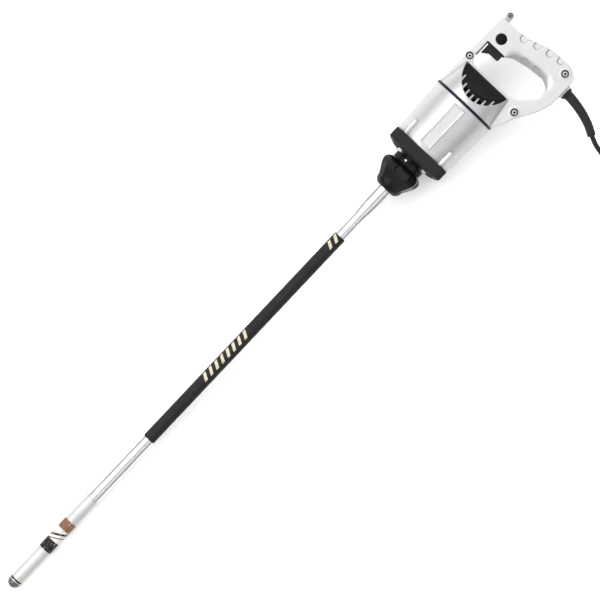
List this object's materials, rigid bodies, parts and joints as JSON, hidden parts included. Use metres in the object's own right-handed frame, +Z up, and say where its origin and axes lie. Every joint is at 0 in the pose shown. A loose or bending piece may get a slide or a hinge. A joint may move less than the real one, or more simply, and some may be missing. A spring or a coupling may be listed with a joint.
{
  "type": "concrete vibrator",
  "caption": "Hand-held electric concrete vibrator: rigid steel lance with rubber sleeve, vibrating head, square bumper, cast motor, D-handle, mains cord.",
  "frame": {"origin": "on the floor, under the middle of the tool's bounding box without its cord", "axes": "+X from the nose towards the D-handle, +Y from the cord's side towards the trigger's side, +Z up"},
  "size_m": [1.2211, 0.4758, 0.1172],
  "materials": {
    "polished_steel": "polished",
    "satin_steel": "satin brushed",
    "dark_steel": "dark hardened",
    "screw_steel": "zinc plated",
    "cast_aluminium": "silver lacquer on a fine casting",
    "black_plastic": "satin black",
    "black_rubber": "matt black",
    "navy_gasket": "navy, slightly glossy",
    "painted_band": "plain printed bands, no text",
    "copper": "enamelled copper",
    "core_steel": "ground",
    "carbon": "sintered",
    "brass": "satin",
    "light_plastic": "plain"
  },
  "bodies": {
    "motor_unit": {"neck": "black_plastic", "neck_set_screw": "screw_steel", "front_bumper": "black_rubber", "motor_housing": "cast_aluminium", "gasket_ring": "navy_gasket", "stator_core": "core_steel", "field_coil_top": "copper", "field_coil_bottom": "copper", "motor_bearing_front": "screw_steel", "motor_bearing_rear": "screw_steel", "bearing_bridge": "black_plastic", "brush_holder_top": "brass", "brush_holder_bottom": "brass", "carbon_brush_top": "carbon", "carbon_brush_bottom": "carbon", "handle_half_near": "cast_aluminium", "handle_half_far": "cast_aluminium", "vent_cover_near": "black_plastic", "vent_cover_far": "black_plastic", "switch_body": "black_plastic", "cord_washer": "light_plastic", "cord_guard": "black_rubber", "power_cord": "black_rubber", "cord_coil": "black_rubber", "coil_tie": "black_plastic", "plug_body": "black_plastic", "plug_blade_left": "brass", "plug_blade_right": "brass", "bumper_screw_1": "screw_steel", "handle_screw_1": "screw_steel", "bumper_screw_2": "screw_steel", "handle_screw_2": "screw_steel", "bumper_screw_3": "screw_steel", "handle_screw_3": "screw_steel", "bumper_screw_4": "screw_steel", "handle_screw_4": "screw_steel"},
    "lance": {"head_nose": "dark_steel", "head_tube": "satin_steel", "head_band": "painted_band", "head_bearing_front": "screw_steel", "head_bearing_rear": "screw_steel", "head_oil_seal": "black_rubber", "head_coupling": "polished_steel", "inner_pipe": "satin_steel", "grip_sleeve": "black_rubber", "shaft_bush_front": "brass", "shaft_bush_middle": "brass", "shaft_bush_rear": "brass", "upper_adapter": "polished_steel"},
    "knob": {"coupling_knob": "black_plastic"},
    "eccentric": {"eccentric_weight": "core_steel", "drive_shaft": "core_steel"},
    "armature": {"armature_shaft": "core_steel", "armature_core": "core_steel", "commutator": "copper", "drive_socket": "core_steel", "cooling_fan": "black_plastic"},
    "trigger": {"trigger": "black_plastic", "trigger_spring": "screw_steel"},
    "lock_button": {"lock_button": "black_plastic"}
  },
  "joints": [
    {"name": "lance_slide", "type": "slide", "parent": "motor_unit", "child": "lance", "axis": [-0.999, 0, -0.045], "range_m": [0, 0.035]},
    {"name": "knob_turn", "type": "hinge", "parent": "lance", "child": "knob", "pos_m": [-0.61045, 0.06385, 0.01077], "axis": [0.999, 0, 0.045], "continuous": true},
    {"name": "eccentric_spin", "type": "hinge", "parent": "lance", "child": "eccentric", "pos_m": [-0.61045, 0.06385, 0.01077], "axis": [0.999, 0, 0.045], "continuous": true},
    {"name": "armature_spin", "type": "hinge", "parent": "motor_unit", "child": "armature", "pos_m": [-0.61045, 0.06385, 0.01077], "axis": [0.999, 0, 0.045], "continuous": true},
    {"name": "trigger_pull", "type": "slide", "parent": "motor_unit", "child": "trigger", "axis": [0.999, 0, 0.045], "range_m": [0, 0.0065], "stiffness_N_per_m": 700, "springref_m": -0.005, "deforming": ["trigger_spring"]},
    {"name": "lock_button_press", "type": "slide", "parent": "motor_unit", "child": "lock_button", "axis": [0.045, 0, -0.999], "range_m": [0, 0.0025], "stiffness_N_per_m": 600, "springref_m": -0.003}
  ],
  "couplings": [
    {"joint": "eccentric_spin", "follows": "armature_spin", "ratio": 1}
  ]
}
